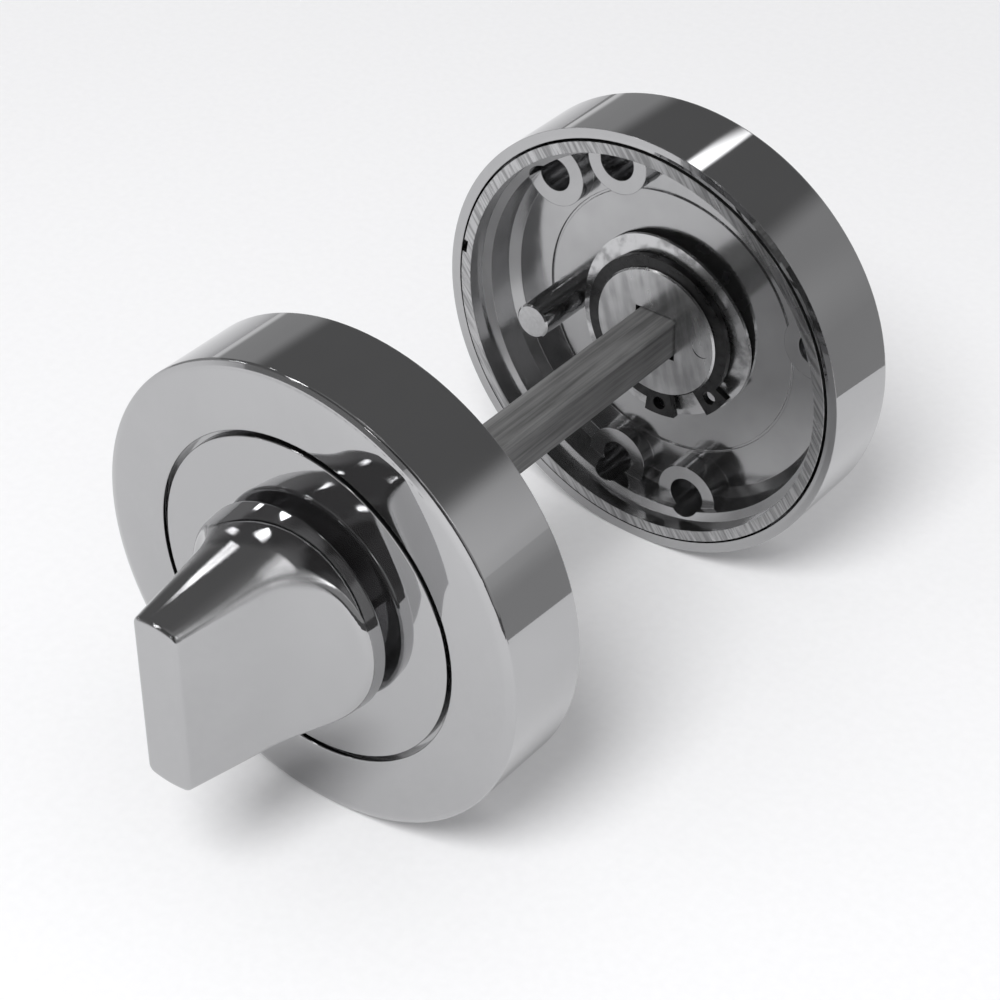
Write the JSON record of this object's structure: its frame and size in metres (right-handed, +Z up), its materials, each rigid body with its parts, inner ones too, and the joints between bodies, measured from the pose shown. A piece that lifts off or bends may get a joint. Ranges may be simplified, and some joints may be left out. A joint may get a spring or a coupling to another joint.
{
  "type": "bathroom thumb turn lock",
  "caption": "Round bathroom thumb turn and emergency release set: a flared turn on one rose drives a square spindle to a coin-slot release in the rose across the door.",
  "frame": {"origin": "on the spindle axis, at the door face under the turn rose", "axes": "+Y from the turn side through the door to the release side, +Z up with the blade of the turn upright, +X to the right as seen from the turn side"},
  "size_m": [0.052, 0.0883, 0.052],
  "materials": {
    "cover_chrome": "mirror polished",
    "base_plating": "polished flush disc, satin casting inside",
    "turn_chrome": "mirror polished",
    "hub_plating": "satin end, polished head",
    "spindle_steel": "drawn, dull",
    "pin_steel": "turned",
    "spring_steel": "blackened",
    "washer_steel": "plated, mottled"
  },
  "bodies": {
    "turn_rose": {"turn_cover": "cover_chrome", "turn_base": "base_plating", "turn_pin": "pin_steel", "turn_washer": "washer_steel"},
    "turn": {"thumb_turn_knob": "turn_chrome", "turn_ring": "spring_steel", "spindle": "spindle_steel"},
    "release_rose": {"release_cover": "cover_chrome", "release_base": "base_plating", "release_pin": "pin_steel", "release_washer": "washer_steel"},
    "release": {"release_hub": "hub_plating", "release_ring": "spring_steel"}
  },
  "joints": [
    {"name": "turn_hinge", "type": "hinge", "parent": "turn_rose", "child": "turn", "pos_m": [0, -0.0075, 0], "axis": [0, 1, 0], "range_deg": [-90, 90]},
    {"name": "door_slide", "type": "slide", "parent": "turn_rose", "child": "release_rose", "axis": [0, 1, 0], "range_m": [-0.002, 0.002]},
    {"name": "release_hinge", "type": "hinge", "parent": "release_rose", "child": "release", "pos_m": [0, 0.0525, 0], "axis": [0, 1, 0], "range_deg": [-90, 90]}
  ],
  "couplings": [
    {"joint": "release_hinge", "follows": "turn_hinge", "ratio": 1}
  ]
}
